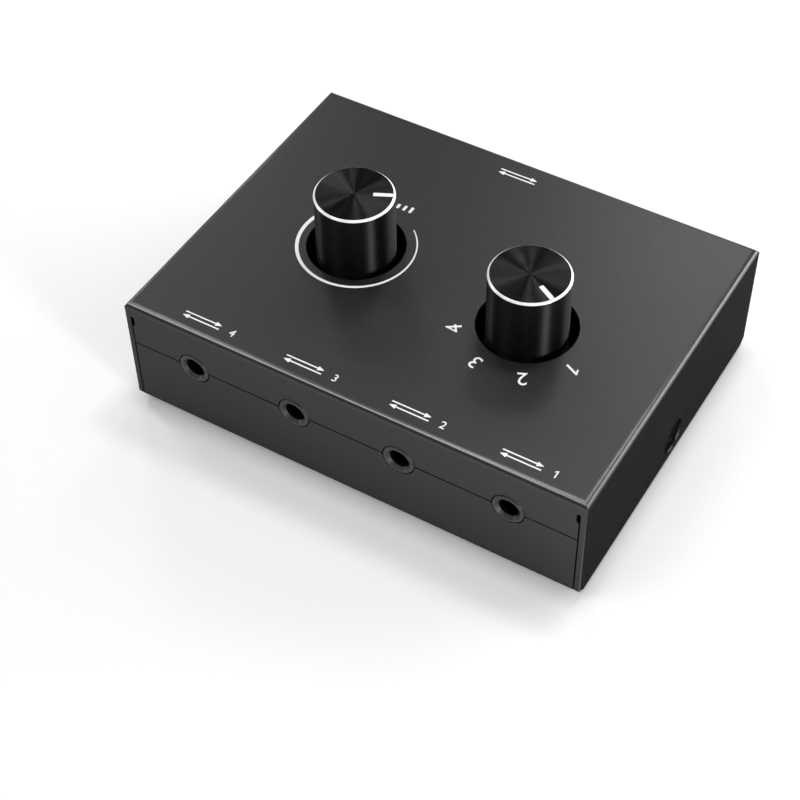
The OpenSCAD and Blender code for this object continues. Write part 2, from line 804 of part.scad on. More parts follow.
module volume_knob() { color("#191919") at_volume() rotate([0, 0, volume_rest]) knob_shell(); }
module volume_knob_core() { at_volume() rotate([0, 0, volume_rest]) knob_core(); }
module volume_pointer() { color("white") at_volume() rotate([0, 0, volume_rest]) pointer_bar(0); }
module selector_knob() { color("#191919") at_selector() rotate([0, 0, selector_rest]) knob_shell(); }
module selector_knob_core() { at_selector() rotate([0, 0, selector_rest]) knob_core(); }
module selector_pointer() { color("white") at_selector() rotate([0, 0, selector_rest]) pointer_bar(0); }

// Selector switch

// Places of the leads: one under each outer pad and one under each common arc
module at_switch_leads() {
    for (a = pad_angles) rotate([0, 0, a]) translate([pad_place_r, 0, 0]) children();
    for (a = common_angles) rotate([0, 0, a]) translate([common_mid_r, 0, 0]) children();
}

module selector_base() {
    color("#2a2622") at_selector() difference() {
        cylinder_between(can_d / 2, board_top, board_top + switch_base_h);
        at_switch_leads()
            cylinder_between(lead_d / 2 + play, board_top - cut, board_top + switch_base_h + cut);
    }
}

module selector_terminals() {
    pad_z = board_top + switch_base_h;
    color("#c9c6bd") at_selector() {
        at_switch_leads() cylinder_between(lead_d / 2, board_under - lead_tail, pad_z + pad_rise / 2);
        for (a = pad_angles) rotate([0, 0, a]) translate([pad_place_r, 0, pad_z])
            cylinder(r = pad_r, h = pad_rise);
        for (a = common_angles) translate([0, 0, pad_z])
            sector(common_in_r, common_in_r + common_w, a, common_span / 2, pad_rise);
    }
}

// Can with the detent hollows in its wall, the bushing, the fixed stop and the washer's slot
module selector_can() {
    color("#8f9194") at_selector() {
        difference() {
            union() {
                cylinder_between(can_d / 2, board_top + switch_base_h, can_top);
                cylinder_between(switch_bushing_d / 2, can_top - play, bushing_top);
            }
            cylinder_between(can_cavity_r, board_top + switch_base_h - cut, can_ceiling);
            for (k = [0 : detent_count - 1]) rotate([0, 0, ball_angle + k * step_angle])
                translate([can_cavity_r, 0, 0]) cylinder_between(detent_r, switch_rotor_z, switch_lug_z);
            cylinder_between(shaft_d / 2 + running_gap, can_ceiling - cut, bushing_top + cut);
            rotate([0, 0, stop_tab_angle])
                translate([stop_tab_mid_r - washer_t / 2 - play, -stop_tab_w / 2 - play, can_ceiling - cut])
                    cube([washer_t + 2 * play, stop_tab_w + 2 * play, can_top_t + 2 * cut]);
        }
        translate([0, 0, stop_tab_z])
            sector(stop_in_r, stop_out_r, post_angle, post_half, can_ceiling - stop_tab_z + play);
    }
}

// Washer whose bent tab reaches into the can and sets the last position
module selector_stop_washer() {
    color("#b9bbbd") at_selector() {
        difference() {
            cylinder_between(washer_r, can_top, can_top + washer_t);
            cylinder_between(switch_bushing_d / 2 + play, can_top - cut, can_top + washer_t + cut);
        }
        rotate([0, 0, stop_tab_angle])
            translate([stop_tab_mid_r - washer_t / 2, -stop_tab_w / 2, stop_tab_z])
                cube([washer_t - play, stop_tab_w, can_top + washer_t / 2 - stop_tab_z]);
    }
}

module selector_nut() {
    color("#b9bbbd") at_selector() difference() {
        translate([0, 0, nut_z]) hexagon(nut_af, nut_h);
        cylinder_between(switch_bushing_d / 2 + play, nut_z - cut, nut_z + nut_h + cut);
    }
}

// Rotor with a lug on top and a radial pocket for the detent ball
module selector_rotor() {
    color("#d8d4c8") at_selector() difference() {
        union() {
            cylinder_between(switch_rotor_r, switch_rotor_z, switch_lug_z);
            translate([0, 0, switch_lug_z - play])
                sector(stop_in_r, stop_out_r, selector_rest, switch_lug_half, switch_lug_h + play);
        }
        rotate([0, 0, selector_rest]) translate([0, 0, switch_rotor_z - cut])
            flatted_bar(spindle_d + 2 * play, spindle_flat, switch_rotor_h + switch_lug_h + 2 * cut);
        at_ball_axis(pocket_floor_r) cylinder(r = pocket_r, h = can_d);
    }
}

// Radial axis of the detent pocket, from a given radius outwards
module at_ball_axis(r) {
    rotate([0, 0, ball_angle]) translate([r, 0, switch_rotor_z + switch_rotor_h / 2])
        rotate([0, 90, 0]) children();
}

module selector_detent_ball() {
    color("#b9bbbd") at_selector() at_ball_axis(ball_place_r) sphere(d = ball_d);
}

// The detent spring is drawn as the sleeve that its close turns fill
module selector_detent_spring() {
    spring_wire = 0.25;
    spring_slack = 0.2;
    spring_d = ball_d - spring_slack;
    spring_length = ball_place_r - ball_d / 2 - pocket_floor_r;
    color("#9a9a98") at_selector() at_ball_axis(pocket_floor_r) difference() {
        cylinder(d = spring_d, h = spring_length);
        translate([0, 0, -cut]) cylinder(d = spring_d - 2 * spring_wire, h = spring_length + 2 * cut);
    }
}

// Two sprung bridges under the rotor, each joining an arc to one pad
module selector_bridges() {
    bridge_w = 1;
    dimple_h = bridge_t + bridge_dimple;
    color("#d9b45a") at_selector() for (pole = [0, 180]) rotate([0, 0, selector_rest + pole]) {
        translate([common_mid_r, -bridge_w / 2, switch_rotor_z - bridge_t])
            cube([pad_place_r - common_mid_r, bridge_w, bridge_t]);
        for (r = [common_mid_r, pad_place_r])
            translate([r, 0, switch_rotor_z - dimple_h]) cylinder(d = bridge_w, h = dimple_h);
    }
}

module selector_shaft() {
    color("#b9bbbd") at_selector() rotate([0, 0, selector_rest])
        control_shaft(switch_rotor_z, can_ceiling + wiper_gap);
}

top_cover();
bottom_tray();
side_screws();
foot(-1, -1);  // foot_front_left
foot(1, -1);  // foot_front_right
foot(-1, 1);  // foot_rear_left
foot(1, 1);  // foot_rear_right
circuit_board();
board_standoffs();
board_screws();
input_socket(1);  // input_socket_1
input_socket(2);  // input_socket_2
input_socket(3);  // input_socket_3
input_socket(4);  // input_socket_4
common_socket();
socket_contacts(1);  // socket_contacts_1
socket_contacts(2);  // socket_contacts_2
socket_contacts(3);  // socket_contacts_3
socket_contacts(4);  // socket_contacts_4
common_contacts();
volume_base();
volume_terminals();
wafer(wafer_z);  // volume_wafer_lower
wafer(upper_wafer_z);  // volume_wafer_upper
volume_cover();
volume_rotor();
volume_wipers();
volume_shaft();
volume_knob_core();
volume_knob();
volume_pointer();
selector_base();
selector_terminals();
selector_can();
selector_stop_washer();
selector_nut();
selector_rotor();
selector_bridges();
selector_detent_ball();
selector_detent_spring();
selector_shaft();
selector_knob_core();
selector_knob();
selector_pointer();
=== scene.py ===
import math

import bmesh
import bpy
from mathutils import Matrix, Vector


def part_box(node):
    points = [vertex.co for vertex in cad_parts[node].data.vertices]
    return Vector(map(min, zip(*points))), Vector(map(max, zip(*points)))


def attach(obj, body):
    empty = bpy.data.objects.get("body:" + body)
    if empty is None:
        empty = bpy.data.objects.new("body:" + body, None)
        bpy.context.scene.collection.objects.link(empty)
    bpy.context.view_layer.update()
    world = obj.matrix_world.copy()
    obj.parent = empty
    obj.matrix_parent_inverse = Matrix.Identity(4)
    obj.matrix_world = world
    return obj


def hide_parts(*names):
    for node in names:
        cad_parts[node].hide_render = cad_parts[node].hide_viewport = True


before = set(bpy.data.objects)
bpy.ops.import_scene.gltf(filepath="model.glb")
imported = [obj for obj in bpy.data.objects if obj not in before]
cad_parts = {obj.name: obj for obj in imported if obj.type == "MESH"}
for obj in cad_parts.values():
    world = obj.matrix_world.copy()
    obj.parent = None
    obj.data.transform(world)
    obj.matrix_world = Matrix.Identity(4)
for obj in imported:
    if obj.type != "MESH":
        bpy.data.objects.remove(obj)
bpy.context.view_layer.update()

# Bottom tray
# Coated steel sheet, folded up at the front and the rear, with a tab bent up at each end for the
# side screw. Its upper edges carry the lower halves of the socket holes.

MM = 0.001
# Two spots that are nearer to each other than this count as one
NEAR = 0.001 * MM
# A face stands square on to an axis if its normal has more than this on it
SQUARE_ON = 0.9
sheet = 1.2 * MM
bend = 1.4 * MM
bend_steps = 8
# Length of a cutter that goes right through a sheet
through = 4 * sheet
tray_low, tray_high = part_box("bottom_tray")


def pick(piece):
    """Makes a piece the only one that the next operator acts on."""
    bpy.ops.object.select_all(action="DESELECT")
    piece.select_set(True)
    bpy.context.view_layer.objects.active = piece


def settle(name):
    """Names the piece that was just added and puts its place into its mesh."""
    piece = bpy.context.object
    pick(piece)
    bpy.ops.object.transform_apply(location=True, rotation=True, scale=True)
    piece.name = name
    piece.data.name = name
    return piece


def add_box(name, low, high):
    """A box between two corners."""
    middle = [(a + b) / 2 for a, b in zip(low, high)]
    size = [b - a for a, b in zip(low, high)]
    bpy.ops.mesh.primitive_cube_add(size=1, location=middle, scale=size)
    return settle(name)


def shape(piece):
    """Opens a piece in edit mode."""
    pick(piece)
    bpy.ops.object.mode_set(mode="EDIT")


def done():
    """Closes edit mode."""
    bpy.ops.object.mode_set(mode="OBJECT")


def choose_edges(test):
    """Selects the edges of the open piece whose two ends pass a test of place."""
    bpy.ops.mesh.select_mode(type="EDGE")
    bpy.ops.mesh.select_all(action="DESELECT")
    mesh = bpy.context.edit_object.data
    cage = bmesh.from_edit_mesh(mesh)
    for edge in cage.edges:
        if test(edge.verts[0].co, edge.verts[1].co):
            edge.select_set(True)
    bmesh.update_edit_mesh(mesh)


def choose_faces(test):
    """Selects the faces of the open piece that pass a test of middle and normal."""
    bpy.ops.mesh.select_mode(type="FACE")
    bpy.ops.mesh.select_all(action="DESELECT")
    mesh = bpy.context.edit_object.data
    cage = bmesh.from_edit_mesh(mesh)
    cage.normal_update()
    for face in cage.faces:
        if test(face.calc_center_median(), face.normal):
            face.select_set(True)
    bmesh.update_edit_mesh(mesh)


def modify(piece, kind, **settings):
    """Adds a modifier to a piece and applies it."""
    pick(piece)
    bpy.ops.object.modifier_add(type=kind)
    modifier = piece.modifiers[-1]
    for name, value in settings.items():
        setattr(modifier, name, value)
    bpy.ops.object.modifier_apply(modifier=modifier.name)


tray = add_box("tray_shell", tray_low, tray_high)
shape(tray)
choose_edges(lambda a, b: max(a.z, b.z) < tray_low.z + NEAR and abs(a.y - b.y) < NEAR)
bpy.ops.mesh.bevel(offset=bend, segments=bend_steps, affect="EDGES")
choose_faces(lambda middle, normal: normal.z > SQUARE_ON or abs(normal.x) > SQUARE_ON)
bpy.ops.mesh.delete(type="ONLY_FACE")
done()
modify(tray, "SOLIDIFY", thickness=sheet, offset=-1, use_even_offset=True)

tab_width = 24 * MM
tab_height = 9 * MM
tab_notch = 1 * MM
tab_hole_r = 1.53 * MM
small_sides = 32
screws_low, screws_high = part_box("side_screws")
screw_y = (screws_low.y + screws_high.y) / 2
screw_z = (screws_low.z + screws_high.z) / 2
tab_low_y = screw_y - tab_width / 2
tab_high_y = screw_y + tab_width / 2


def add_rod(name, middle, radius, length, axis="Z", sides=64):
    """A round rod along one of the three axes."""
    turn = {"X": (0, math.pi / 2, 0), "Y": (math.pi / 2, 0, 0), "Z": (0, 0, 0)}[axis]
    bpy.ops.mesh.primitive_cylinder_add(
        vertices=sides, radius=radius, depth=length, location=middle, rotation=turn)
    return settle(name)


def cut(piece, cutter):
    """Cuts one piece with another, which is used up."""
    modify(piece, "BOOLEAN", object=cutter, operation="DIFFERENCE", solver="EXACT")
    bpy.data.objects.remove(cutter)


def weld(piece, addition):
    """Makes one piece of two that overlap."""
    modify(piece, "BOOLEAN", object=addition, operation="UNION", solver="EXACT")
    bpy.data.objects.remove(addition)


gap = add_box("tab_gap", (tray_high.x - bend, tab_low_y - tab_notch, tray_low.z - sheet),
              (tray_high.x + bend, tab_high_y + tab_notch, tray_low.z + 2 * sheet))
modify(gap, "MIRROR")
cut(tray, gap)
tab = add_box("tab", (tray_high.x - 2 * bend, tab_low_y, tray_low.z),
              (tray_high.x, tab_high_y, tray_low.z + tab_height))
shape(tab)
choose_edges(lambda a, b: min(a.x, b.x) > tray_high.x - NEAR and max(a.z, b.z) < tray_low.z + NEAR)
bpy.ops.mesh.bevel(offset=bend, segments=bend_steps, affect="EDGES")
choose_faces(lambda middle, normal: normal.z > SQUARE_ON or abs(normal.y) > SQUARE_ON
             or normal.x < -SQUARE_ON)
bpy.ops.mesh.delete(type="ONLY_FACE")
done()
modify(tab, "SOLIDIFY", thickness=sheet, offset=-1, use_even_offset=True)
cut(tab, add_rod("tab_hole", (tray_high.x, screw_y, screw_z), tab_hole_r, through, "X", small_sides))
modify(tab, "MIRROR")
weld(tray, tab)

nose_hole_r = 3.5 * MM
shank_hole_r = 2.13 * MM
shank_x = 42.5 * MM
shank_y = 17 * MM
edge_round = 0.09 * MM
flat_within = math.radians(0.5)
sharp_from = math.radians(40)
sockets = ["input_socket_1", "input_socket_2", "input_socket_3", "input_socket_4", "common_socket"]
cover_low, cover_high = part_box("top_cover")


def middle_of(node):
    """Middle of a node's box."""
    low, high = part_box(node)
    return (low + high) / 2


def cut_nose_holes(piece):
    """Cuts the round openings for the socket noses through the front and rear flanges."""
    for node in sockets:
        middle = middle_of(node)
        middle.y = cover_low.y if middle.y < 0 else cover_high.y
        cut(piece, add_rod("nose_hole", middle, nose_hole_r, through, "Y"))


def soften(piece, width):
    """Rounds all sharp edges by a hair and lets the large faces lead the shading."""
    shape(piece)
    bpy.ops.mesh.select_all(action="SELECT")
    bpy.ops.mesh.remove_doubles(threshold=NEAR)
    bpy.ops.mesh.dissolve_limited(angle_limit=flat_within)
    done()
    modify(piece, "BEVEL", width=width, segments=2, limit_method="ANGLE", angle_limit=sharp_from)
    bpy.ops.object.shade_smooth()
    modify(piece, "WEIGHTED_NORMAL", keep_sharp=True)


cut_nose_holes(tray)
shank_hole = add_rod(
    "shank_hole", (shank_x, shank_y, tray_low.z), shank_hole_r, through, "Z", small_sides)
modify(shank_hole, "MIRROR", use_axis=(True, True, False))
cut(tray, shank_hole)
soften(tray, edge_round)

# A noise lies mostly between these two values
noise_low = 0.3
noise_high = 0.7
# Patches of other gloss are this many grains across
patch_grains = 15
patch_detail = 3.0


def linear(colour):
    """Linear red, green, blue and alpha of a colour written as on a screen."""
    parts = [int(colour[i:i + 2], 16) / 255 for i in (1, 3, 5)]
    return [p / 12.92 if p <= 0.04045 else ((p + 0.055) / 1.055) ** 2.4 for p in parts] + [1]


def add_noise(finish, size, detail=2.0):
    """A noise in Object coordinates whose lumps are about a given size across."""
    nodes = finish.node_tree.nodes
    place = nodes.new("ShaderNodeTexCoord")
    noise = nodes.new("ShaderNodeTexNoise")
    noise.inputs["Scale"].default_value = 1 / size
    noise.inputs["Detail"].default_value = detail
    finish.node_tree.links.new(place.outputs["Object"], noise.inputs["Vector"])
    return noise.outputs["Fac"]


def colour_by(finish, pattern, dark, light):
    """Lets a pattern swing the colour between two shades."""
    nodes, links = finish.node_tree.nodes, finish.node_tree.links
    ramp = nodes.new("ShaderNodeValToRGB")
    ramp.color_ramp.elements[0].position = noise_low
    ramp.color_ramp.elements[0].color = linear(dark)
    ramp.color_ramp.elements[1].position = noise_high
    ramp.color_ramp.elements[1].color = linear(light)
    links.new(pattern, ramp.inputs["Fac"])
    links.new(ramp.outputs["Color"], nodes["Principled BSDF"].inputs["Base Color"])


def gloss_by(finish, pattern, low, high):
    """Lets a pattern swing the roughness between two values."""
    nodes, links = finish.node_tree.nodes, finish.node_tree.links
    spread = nodes.new("ShaderNodeMapRange")
    spread.inputs["From Min"].default_value = noise_low
    spread.inputs["From Max"].default_value = noise_high
    spread.inputs["To Min"].default_value = low
    spread.inputs["To Max"].default_value = high
    links.new(pattern, spread.inputs["Value"])
    links.new(spread.outputs["Result"], nodes["Principled BSDF"].inputs["Roughness"])


def relief_by(finish, pattern, depth):
    """Lets a pattern raise the surface by up to a given depth."""
    nodes, links = finish.node_tree.nodes, finish.node_tree.links
    bump = nodes.new("ShaderNodeBump")
    bump.inputs["Distance"].default_value = depth
    links.new(pattern, bump.inputs["Height"])
    links.new(bump.outputs["Normal"], nodes["Principled BSDF"].inputs["Normal"])


def new_finish(name, metallic=0.0, specular=0.5, edge_tint=1.0):
    """A material whose values that are the same all over stand on the shader's own sockets."""
    finish = bpy.data.materials.new(name)
    finish.use_nodes = True
    shader = finish.node_tree.nodes["Principled BSDF"]
    shader.inputs["Metallic"].default_value = metallic
    shader.inputs["Specular IOR Level"].default_value = specular
    shader.inputs["Specular Tint"].default_value = (edge_tint, edge_tint, edge_tint, 1)
    return finish


def grained_finish(name, shades, roughness, grain, depth, **values):
    """A finish with a fine grain in its colour and height, and broader patches in its gloss."""
    finish = new_finish(name, **values)
    fine = add_noise(finish, grain)
    colour_by(finish, fine, *shades)
    gloss_by(finish, add_noise(finish, patch_grains * grain, patch_detail), *roughness)
    relief_by(finish, fine, depth)
    return finish


def fit(piece, finish, body, slot, *nodes):
    """Gives a finished piece its material and its body, and hides the nodes that it stands for. The slot
    is not used.
    """
    piece.data.materials.append(finish)
    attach(piece, body)
    if nodes:
        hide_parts(*nodes)


satin_coat = grained_finish("satin_coat", ("#4c4c4c", "#535353"), (0.36, 0.38), 0.3 * MM, 0.004 * MM,
                            metallic=1.0, edge_tint=0.2)
fit(tray, satin_coat, "case", "tray_paint", "bottom_tray")

# Rubber feet
# Four stick-on discs of black rubber under the tray, moulded with a rounded rim and a shallow
# dish underneath so that they grip the table.

foot_rim = 0.5 * MM
foot_rim_steps = 6
foot_dish_margin = 1.3 * MM
foot_dish = 0.25 * MM
foot_edge = 0.06 * MM
foot_low, foot_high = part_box("foot_front_right")
foot_r = (foot_high.x - foot_low.x) / 2


def copy_to(piece, name, x, y, turn=0.0):
    """A copy with its own mesh, turned about the vertical and moved into its place."""
    pick(piece)
    bpy.ops.object.duplicate(linked=False)
    bpy.context.object.rotation_euler = (0, 0, turn)
    bpy.context.object.location = (x, y, 0)
    return settle(name)


foot = add_rod("foot_pattern", (0, 0, (foot_low.z + foot_high.z) / 2), foot_r, foot_high.z - foot_low.z)
shape(foot)
choose_faces(lambda middle, normal: normal.z < -SQUARE_ON)
bpy.ops.mesh.inset(thickness=foot_dish_margin)
bpy.ops.mesh.inset(thickness=foot_dish, depth=-foot_dish)
choose_edges(lambda a, b: max(a.z, b.z) < foot_low.z + NEAR
             and min(a.xy.length, b.xy.length) > foot_r - NEAR)
bpy.ops.mesh.bevel(offset=foot_rim, segments=foot_rim_steps, affect="EDGES")
done()
soften(foot, foot_edge)
rubber = grained_finish(
    "rubber", ("#161616", "#1e1e1e"), (0.75, 0.9), 0.25 * MM, 0.02 * MM, specular=0.3)
for end in ("front", "rear"):
    for hand in ("left", "right"):
        node = "foot_%s_%s" % (end, hand)
        spot = middle_of(node)
        fit(copy_to(foot, node + "_pad", spot.x, spot.y), rubber, "case", "rubber", node)
bpy.data.objects.remove(foot)

# Circuit board and its fixings
# A black glass-fibre board on four brass standoffs that are pressed into the tray, held by
# zinc-plated pan-head screws. The model's own solids are right, so they only get their finish.


def dress(finish, *nodes):
    """Gives the model's own solids a finish."""
    for name in nodes:
        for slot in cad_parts[name].material_slots:
            slot.material = finish


dress(grained_finish("solder_mask", ("#0b0d0e", "#121517"), (0.3, 0.42), 0.3 * MM, 0.01 * MM),
      "circuit_board")
dress(grained_finish("brass", ("#8f6f2c", "#b08d3c"), (0.25, 0.4), 0.2 * MM, 0.004 * MM, metallic=1.0),
      "board_standoffs")
dress(grained_finish("zinc", ("#8d8f92", "#a6a8ab"), (0.3, 0.45), 0.2 * MM, 0.004 * MM, metallic=1.0),
      "board_screws")

# Sockets
# Five 3.5 mm sockets moulded in black glass-filled plastic, with tinned springs in their sides.
# The round noses sit in the seam between tray and cover, and painted shade darkens their bores.

# Painted shade in the bores: from this depth behind the face the socket plastic leads over to near black
# and loses its specular.
bore_shade_depth = 0.65 * MM
bore_shade_fade = 0.08 * MM
bore_shade_colour = "#060606"
socket_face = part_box("common_socket")[1].y


def darken_inside(finish, inside, face_y, start, end):
    """Paints shade into the bores: leads over to a near-black colour with no specular between two depths
    behind the faces at -Y and +Y.
    """
    nodes, links = finish.node_tree.nodes, finish.node_tree.links
    colour = nodes["Principled BSDF"].inputs["Base Color"]
    specular = nodes["Principled BSDF"].inputs["Specular IOR Level"]
    place = nodes.new("ShaderNodeTexCoord")
    parts = nodes.new("ShaderNodeSeparateXYZ")
    from_middle = nodes.new("ShaderNodeMath")
    from_middle.operation = "ABSOLUTE"
    depth = nodes.new("ShaderNodeMapRange")
    depth.inputs["From Min"].default_value = face_y - start
    depth.inputs["From Max"].default_value = face_y - end
    blend = nodes.new("ShaderNodeMixRGB")
    blend.inputs["Color2"].default_value = linear(inside)
    sheen = nodes.new("ShaderNodeMapRange")
    sheen.inputs["To Min"].default_value = specular.default_value
    sheen.inputs["To Max"].default_value = 0
    links.new(place.outputs["Object"], parts.inputs["Vector"])
    links.new(parts.outputs["Y"], from_middle.inputs[0])
    links.new(from_middle.outputs["Value"], depth.inputs["Value"])
    links.new(depth.outputs["Result"], blend.inputs["Fac"])
    links.new(depth.outputs["Result"], sheen.inputs["Value"])
    links.new(colour.links[0].from_socket, blend.inputs["Color1"])
    links.new(blend.outputs["Color"], colour)
    links.new(sheen.outputs["Result"], specular)


socket_plastic = grained_finish(
    "socket_plastic", ("#282828", "#303030"), (0.4, 0.5), 0.15 * MM, 0.006 * MM, specular=0.4)
# Paints shade into the socket bores.
darken_inside(socket_plastic, bore_shade_colour, socket_face, bore_shade_depth - bore_shade_fade, bore_shade_depth + bore_shade_fade)
dress(socket_plastic, *sockets)
contact_metal = grained_finish(
    "contact_metal", ("#b3b1a8", "#cfccc3"), (0.2, 0.35), 0.2 * MM, 0.003 * MM, metallic=1.0)
dress(contact_metal, "socket_contacts_1", "socket_contacts_2", "socket_contacts_3", "socket_contacts_4",
      "common_contacts", "volume_terminals", "selector_terminals")

# Volume control
# A two-gang potentiometer: phenolic base and wafers, a pressed steel cover with a threaded
# bushing, a moulded rotor with sprung wipers and an aluminium shaft with a flat.

phenolic = grained_finish("phenolic", ("#211d1a", "#2c2723"), (0.4, 0.55), 0.3 * MM, 0.01 * MM)
dress(phenolic, "volume_base", "selector_base")
dress(grained_finish("wafer", ("#5d3f22", "#6f4d2c"), (0.4, 0.55), 0.3 * MM, 0.008 * MM),
      "volume_wafer_lower", "volume_wafer_upper")
plated_steel = grained_finish(
    "plated_steel", ("#191a1b", "#222324"), (0.5, 0.65), 0.25 * MM, 0.004 * MM, metallic=1.0)
dress(plated_steel, "volume_cover", "selector_can")
rotor_plastic = grained_finish(
    "rotor_plastic", ("#cdc9bd", "#dad6cb"), (0.35, 0.5), 0.2 * MM, 0.006 * MM)
dress(rotor_plastic, "volume_rotor", "selector_rotor")
bronze = grained_finish(
    "bronze", ("#b08a3e", "#cda551"), (0.22, 0.36), 0.2 * MM, 0.003 * MM, metallic=1.0)
dress(bronze, "volume_wipers", "selector_bridges")
bare_aluminium = grained_finish(
    "bare_aluminium", ("#a9abad", "#bfc1c3"), (0.25, 0.4), 0.2 * MM, 0.004 * MM, metallic=1.0)
dress(bare_aluminium, "volume_shaft", "selector_shaft")

# Selector switch
# A four-way rotary switch: a drawn can with detent hollows, a stop washer under its nut,
# a sprung steel ball in the moulded rotor and bronze bridges that join the pads.

bright_steel = grained_finish(
    "bright_steel", ("#a2a4a6", "#bdbfc1"), (0.15, 0.3), 0.2 * MM, 0.002 * MM, metallic=1.0)
dress(bright_steel, "selector_stop_washer", "selector_nut", "selector_detent_ball",
      "selector_detent_spring")

# Top cover
# Coated steel sheet, folded down on all four sides: full walls left and right, half walls front
# and rear. Slits with punched reliefs part the walls, and two large holes clear the knobs.

slit = 0.3 * MM
relief_width = 0.85 * MM
relief_height = 2.4 * MM
relief_drop = 3 * MM
relief_sides = 24
wall_corner = 1.6 * MM
wall_corner_steps = 6
wall_edge = 0.3 * MM
knob_hole_r = 10 * MM
large_sides = 128
sink_outer_r = 3.8 * MM
wall_in_x = cover_high.x - sheet
relief_top = cover_high.z - relief_drop
seam_z = middle_of("input_socket_1").z + slit / 2

cover = add_box("cover_shell", cover_low, cover_high)
shape(cover)
choose_edges(lambda a, b: min(a.z, b.z) > cover_high.z - NEAR)
bpy.ops.mesh.bevel(offset=bend, segments=bend_steps, affect="EDGES")
choose_faces(lambda middle, normal: normal.z < -SQUARE_ON)
bpy.ops.mesh.delete(type="ONLY_FACE")
done()
modify(cover, "SOLIDIFY", thickness=sheet, offset=-1, use_even_offset=True)
cut(cover, add_box("lower_window", (-wall_in_x, 2 * cover_low.y, cover_low.z - sheet),
                   (wall_in_x, 2 * cover_high.y, seam_z)))
slit_cutter = add_box("slit", (wall_in_x - slit, 2 * cover_low.y, seam_z - sheet),
                      (wall_in_x, 2 * cover_high.y, relief_top - relief_height / 2))
modify(slit_cutter, "MIRROR")
cut(cover, slit_cutter)
relief_r = relief_width / 2
relief_z = relief_top - relief_height + relief_r
relief = add_rod(
    "relief", (wall_in_x - relief_r, 0, relief_z), relief_r, 4 * cover_high.y, "Y", relief_sides)
shape(relief)
choose_edges(lambda a, b: min(a.z, b.z) > relief_z - NEAR)
bpy.ops.transform.translate(value=(0, 0, relief_height - relief_width))
done()
modify(relief, "MIRROR")
cut(cover, relief)
# The cone leans by 45 degrees and is as wide as the countersink where it meets the wall's face
bpy.ops.mesh.primitive_cone_add(
    vertices=64, radius1=sink_outer_r - 2 * sheet, radius2=sink_outer_r + sheet, depth=3 * sheet,
    location=(cover_high.x - sheet / 2, screw_y, screw_z), rotation=(0, math.pi / 2, 0))
countersink = settle("countersink")
modify(countersink, "MIRROR")
cut(cover, countersink)
for node in ("volume_knob", "selector_knob"):
    axis = middle_of(node)
    cut(cover, add_rod(
        "knob_hole", (axis.x, axis.y, cover_high.z), knob_hole_r, through, "Z", large_sides))
cut_nose_holes(cover)
shape(cover)
choose_edges(lambda a, b: max(a.z, b.z) < cover_low.z + NEAR and abs(a.y - b.y) < NEAR
             and abs(a.y) > cover_high.y - NEAR)
bpy.ops.mesh.bevel(offset=wall_corner, segments=wall_corner_steps, affect="EDGES")
choose_edges(lambda a, b: abs(a.z - b.z) > wall_corner
             and min(abs(a.x), abs(b.x)) > cover_high.x - NEAR
             and min(abs(a.y), abs(b.y)) > cover_high.y - NEAR)
bpy.ops.mesh.bevel(offset=wall_edge, segments=2, affect="EDGES")
done()
soften(cover, edge_round)

# Painted highlight: between these angles round the bends at the top, the coat's colour leads over to a
# light grey, fully at the front and rear and faintly at the sides. The upright edges get some of the
# same lighter colour.
highlight_from = math.radians(15)
highlight_to = math.radians(40)
side_highlight = 0.1
edge_lightening = 0.3
highlight_and_edge_colour = "#a4a4a4"


def rub_bends(piece, high):
    """Marks where the coat is painted lighter: a painted highlight along the bends round the top, and
    less so a lighter tone on the upright edges.
    """
    highlights_and_edges = piece.data.attributes.new("highlights_and_edges", "FLOAT", "POINT")
    for vertex, mark in zip(piece.data.vertices, highlights_and_edges.data):
        out_x = abs(vertex.co.x) - high.x + bend
        out_y = abs(vertex.co.y) - high.y + bend
        out = max(out_x, out_y)
        up = vertex.co.z - high.z + bend
        if math.hypot(out, up) > bend - NEAR and highlight_from < math.atan2(out, up) < highlight_to:
            mark.value = 1 if out_y > out_x else side_highlight
        elif up < 0 and bend - wall_edge < min(out_x, out_y) and out < bend - NEAR:
            mark.value = edge_lightening


def wear_by(finish, mark, lighter_colour):
    """Lets a mark on the mesh lead the colour over to a lighter one, which paints the highlight on the
    bends and lightens the upright edges.
    """
    nodes, links = finish.node_tree.nodes, finish.node_tree.links
    colour = nodes["Principled BSDF"].inputs["Base Color"]
    place = nodes.new("ShaderNodeAttribute")
    place.attribute_name = mark
    blend = nodes.new("ShaderNodeMixRGB")
    blend.inputs["Color2"].default_value = linear(lighter_colour)
    links.new(place.outputs["Fac"], blend.inputs["Fac"])
    links.new(colour.links[0].from_socket, blend.inputs["Color1"])
    links.new(blend.outputs["Color"], colour)


# Paints the highlight on the cover's bends, and the lighter upright edges, into the coat's colour.
rub_bends(cover, cover_high)
wear_by(satin_coat, "highlights_and_edges", highlight_and_edge_colour)
fit(cover, satin_coat, "case", "cover_paint", "top_cover")

# Side screws
# Countersunk cross-head screws in blackened steel, one low in each side wall, driven through the cover
# into the tray's tabs. The heads lie a little below the paint, and the countersinks round them are
# painted dark as shade.

head_r = 3.45 * MM
head_cone = 0.88 * MM
head_edge = 0.05 * MM
shank_r = 1.5 * MM
shank_length = 5 * MM
recess_reach = 2.05 * MM
recess_width = 0.75 * MM
recess_depth = 0.57 * MM
recess_taper = 0.6
cone_end = (head_r - head_cone) / head_r

